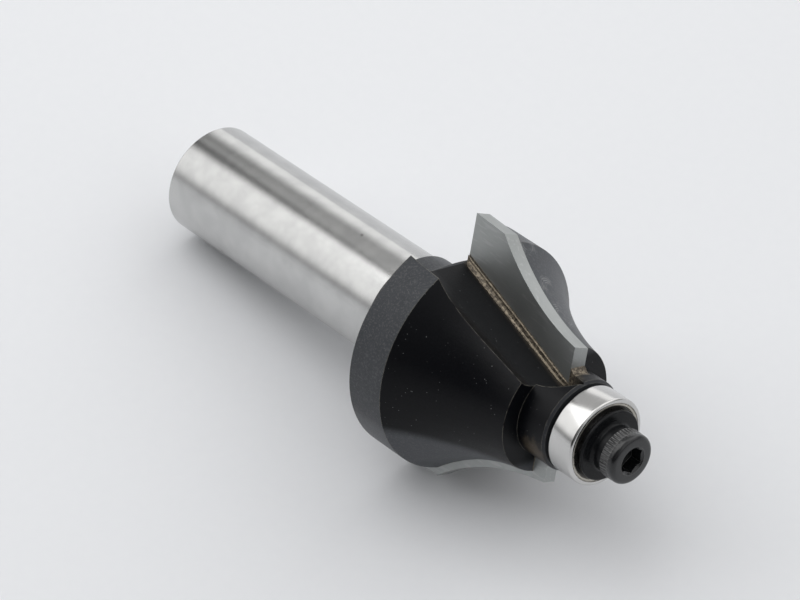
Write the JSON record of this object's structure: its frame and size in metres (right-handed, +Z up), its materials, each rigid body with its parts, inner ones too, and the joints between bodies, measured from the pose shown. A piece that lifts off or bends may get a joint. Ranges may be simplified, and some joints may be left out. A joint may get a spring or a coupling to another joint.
{
  "type": "router bit",
  "caption": "Cove router bit with carbide-tipped wings, a plain shank and a guide bearing held on its nose by a socket screw.",
  "frame": {"origin": "Centre of the footprint of the lying bit, on the surface it rests on.", "axes": "+Z up from the resting surface; +X along the bit, from its shank to its nose, with the axis climbing towards the nose; +Y sideways."},
  "size_m": [0.0666, 0.0252, 0.0252],
  "materials": {
    "coated_steel": "black non-stick coating over machined steel, with the shank ground bright",
    "carbide": "ground tungsten carbide, satin grey",
    "braze": "brown heat-stained brazing alloy",
    "bearing_steel": "polished bearing steel",
    "ball_steel": "polished steel balls",
    "shield_steel": "pressed bright sheet steel",
    "cage_brass": "plain pressed brass",
    "black_oxide": "black oxide, slightly oiled"
  },
  "bodies": {
    "bit": {"bit_body": "coated_steel", "cutter_1": "carbide", "cutter_2": "carbide", "braze_1": "braze", "braze_2": "braze", "bearing_inner_ring": "bearing_steel", "bearing_washer": "black_oxide", "bearing_screw": "black_oxide"},
    "bearing_rim": {"bearing_outer_ring": "bearing_steel", "bearing_shield_back": "shield_steel", "bearing_shield_front": "shield_steel"},
    "ball_set": {"ball_cage": "cage_brass", "ball_1": "ball_steel", "ball_2": "ball_steel", "ball_3": "ball_steel", "ball_4": "ball_steel", "ball_5": "ball_steel", "ball_6": "ball_steel", "ball_7": "ball_steel", "ball_8": "ball_steel"}
  },
  "joints": [
    {"name": "bearing_spin", "type": "hinge", "parent": "bit", "child": "bearing_rim", "pos_m": [0.02749, 0, 0.01578], "axis": [0.9865, 0, 0.164], "continuous": true},
    {"name": "ball_orbit", "type": "hinge", "parent": "bit", "child": "ball_set", "pos_m": [0.02749, 0, 0.01578], "axis": [0.9865, 0, 0.164], "continuous": true}
  ],
  "couplings": [
    {"joint": "ball_orbit", "follows": "bearing_spin", "ratio": 0.6111}
  ]
}
